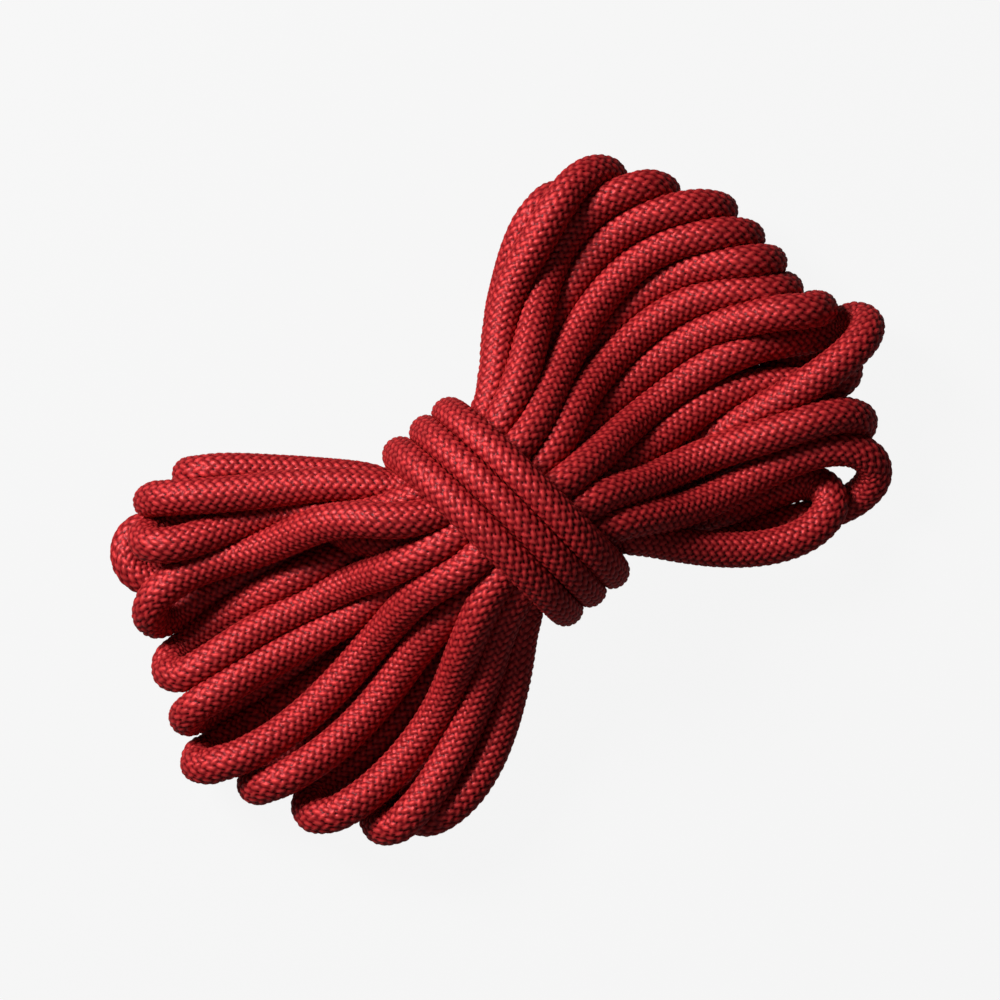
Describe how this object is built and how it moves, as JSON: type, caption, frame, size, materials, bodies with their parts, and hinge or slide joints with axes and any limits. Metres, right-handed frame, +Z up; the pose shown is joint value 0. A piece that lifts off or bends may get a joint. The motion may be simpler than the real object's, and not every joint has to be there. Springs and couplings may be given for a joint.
{
  "type": "dynamic climbing rope in a bound bow-tie hank",
  "caption": "Limp braided kernmantle climbing rope wound into a flat bow-tie hank, its waist bound with turns of its own tail.",
  "frame": {"origin": "on the ground plane under the middle of the bound waist, which is also the bottom centre of the bounding box", "axes": "+X along the hank towards its right loops, +Y across the loops, +Z up from the ground the hank lies on"},
  "size_m": [0.2, 0.116, 0.054],
  "materials": {
    "sheath_nylon": "glossy braided nylon",
    "core_nylon": "matt undyed nylon yarn",
    "year_thread_yarn": "dyed yarn",
    "shrink_band": "satin heat-shrink film",
    "fused_nylon": "melted and set nylon"
  },
  "bodies": {
    "root": {"left_loops": "sheath_nylon", "bound_runs": "sheath_nylon", "right_loops": "sheath_nylon", "waist_wraps": "sheath_nylon", "start_sheath": "sheath_nylon", "tail_sheath": "sheath_nylon", "core_strand_1": "core_nylon", "core_strand_2": "core_nylon", "core_strand_3": "core_nylon", "core_strand_4": "core_nylon", "core_strand_5": "core_nylon", "core_strand_6": "core_nylon", "core_strand_7": "core_nylon", "year_thread": "year_thread_yarn", "start_band": "shrink_band", "tail_band": "shrink_band", "start_fused_tip": "fused_nylon", "tail_fused_tip": "fused_nylon"}
  },
  "joints": []
}
